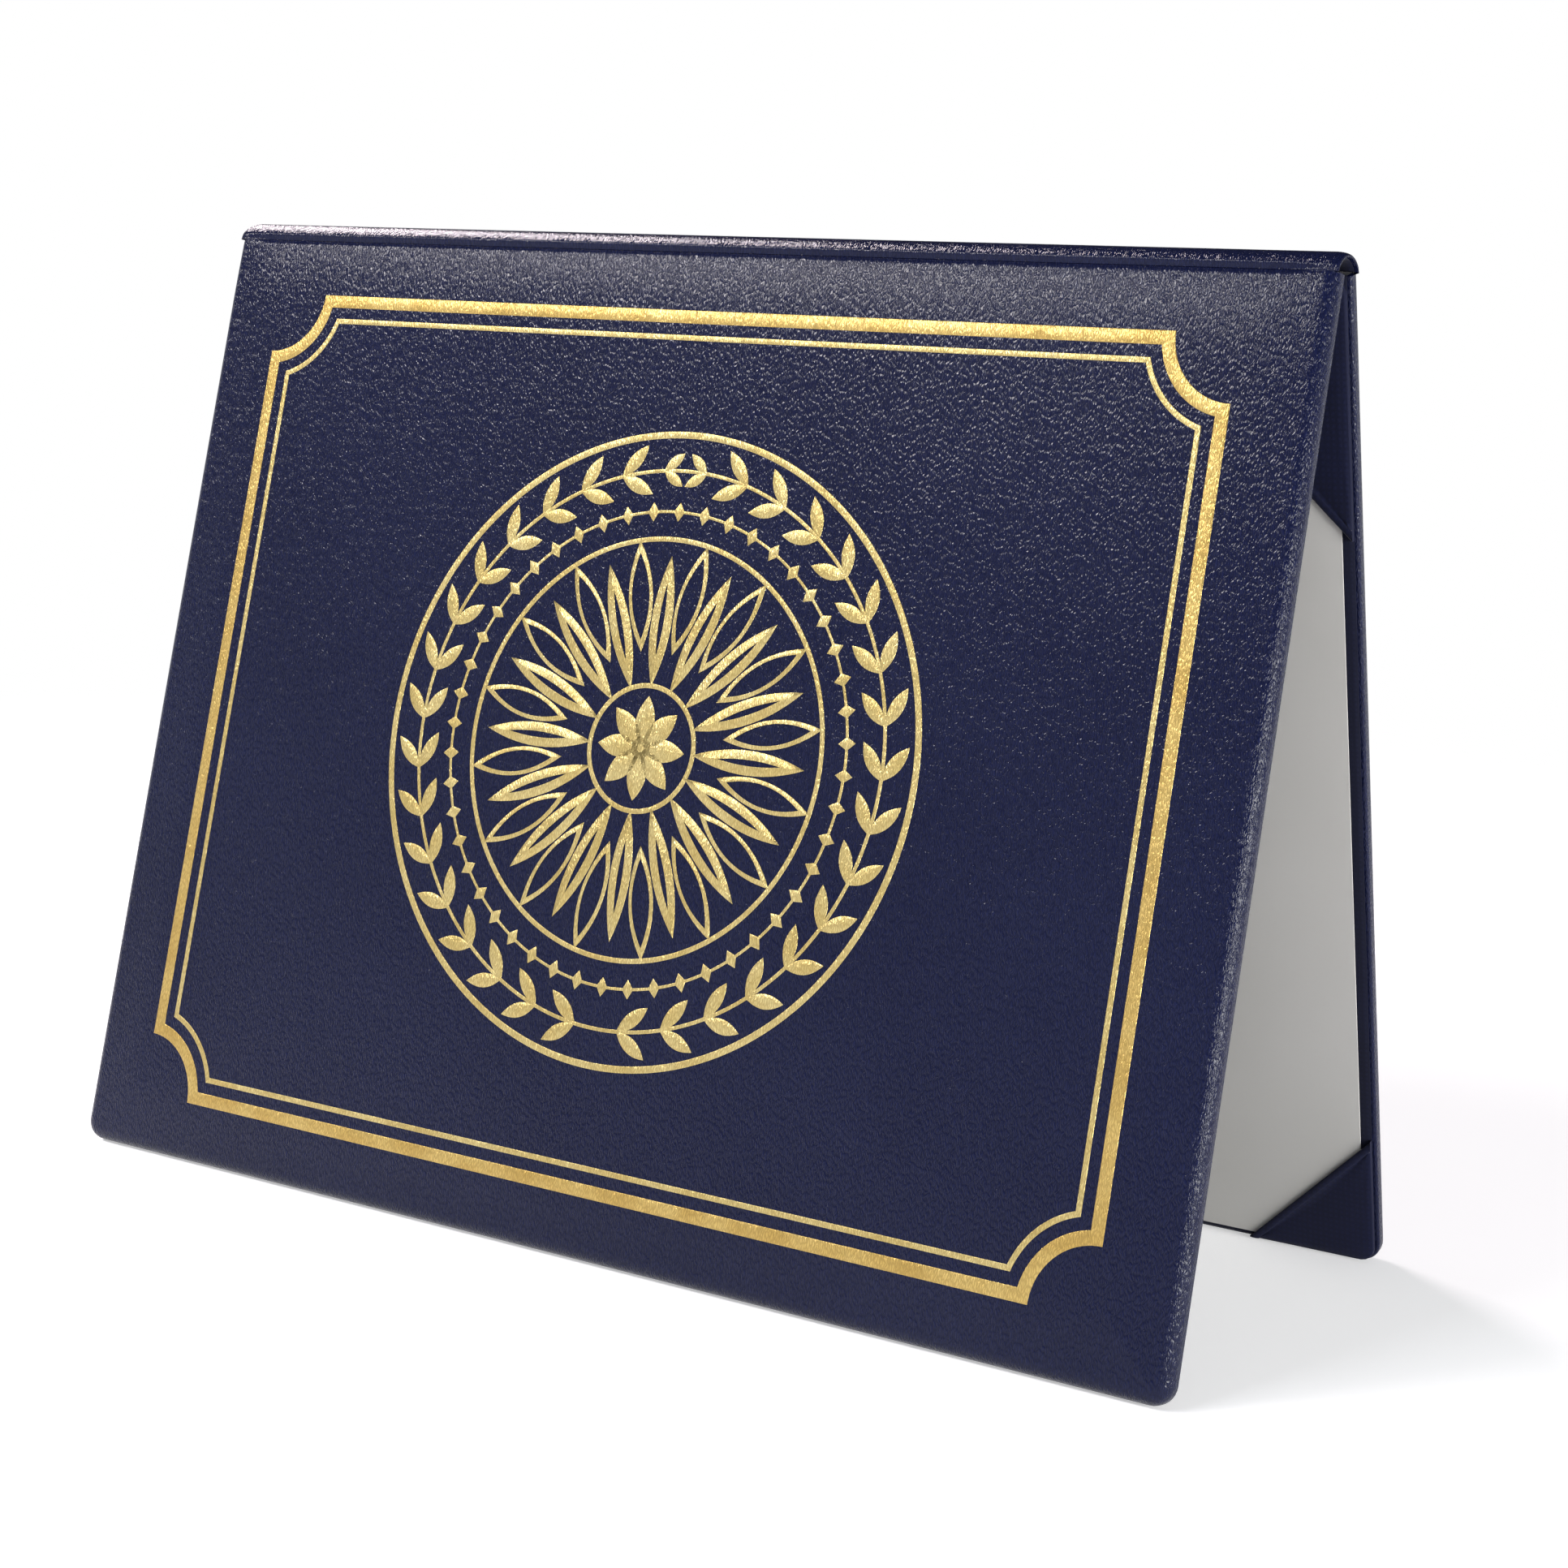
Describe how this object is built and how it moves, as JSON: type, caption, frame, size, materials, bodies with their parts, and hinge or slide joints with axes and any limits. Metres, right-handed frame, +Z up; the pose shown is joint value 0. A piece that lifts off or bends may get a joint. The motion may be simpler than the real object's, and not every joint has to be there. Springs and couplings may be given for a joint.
{
  "type": "diploma cover",
  "caption": "Padded tent-style diploma cover with a gold stamped border and emblem, holding one certificate sheet in pocket corners.",
  "frame": {"origin": "on the floor, midway between the two feet and midway along the spine", "axes": "+X along the spine, +Y from the front cover to the back cover, +Z up; the stamped front cover faces -Y"},
  "size_m": [0.286, 0.1108, 0.2176],
  "materials": {
    "leatherette": "satin, fine grain",
    "lining": "matte",
    "corner_cloth": "satin",
    "gold_foil": "stamped foil, grained",
    "paper": "matte paper",
    "greyboard": "matte pulp board",
    "foam": "matte foam"
  },
  "bodies": {
    "back_cover": {"back_board": "greyboard", "back_pad": "foam", "back_wrap": "leatherette", "back_liner": "lining", "certificate_sheet": "paper", "corner_bottom_left": "corner_cloth", "corner_bottom_right": "corner_cloth", "corner_top_left": "corner_cloth", "corner_top_right": "corner_cloth"},
    "spine": {"spine_wrap": "leatherette", "spine_liner": "lining"},
    "front_cover": {"front_board": "greyboard", "front_pad": "foam", "front_wrap": "leatherette", "front_liner": "lining", "foil_border_band": "gold_foil", "foil_border_line": "gold_foil", "foil_ring": "gold_foil", "foil_garland": "gold_foil", "foil_lozenge_ring": "gold_foil", "foil_arch_ring": "gold_foil", "foil_petal_star": "gold_foil", "foil_flower": "gold_foil"}
  },
  "joints": [
    {"name": "rear_crease", "type": "hinge", "parent": "back_cover", "child": "spine", "pos_m": [0, 0.006, 0.21417], "axis": [-1, 0, 0], "range_deg": [-13.2, 76.8]},
    {"name": "front_crease", "type": "hinge", "parent": "spine", "child": "front_cover", "pos_m": [0, -0.006, 0.21417], "axis": [-1, 0, 0], "range_deg": [-13.2, 76.8]}
  ],
  "couplings": [
    {"joint": "front_crease", "follows": "rear_crease", "ratio": 1}
  ]
}
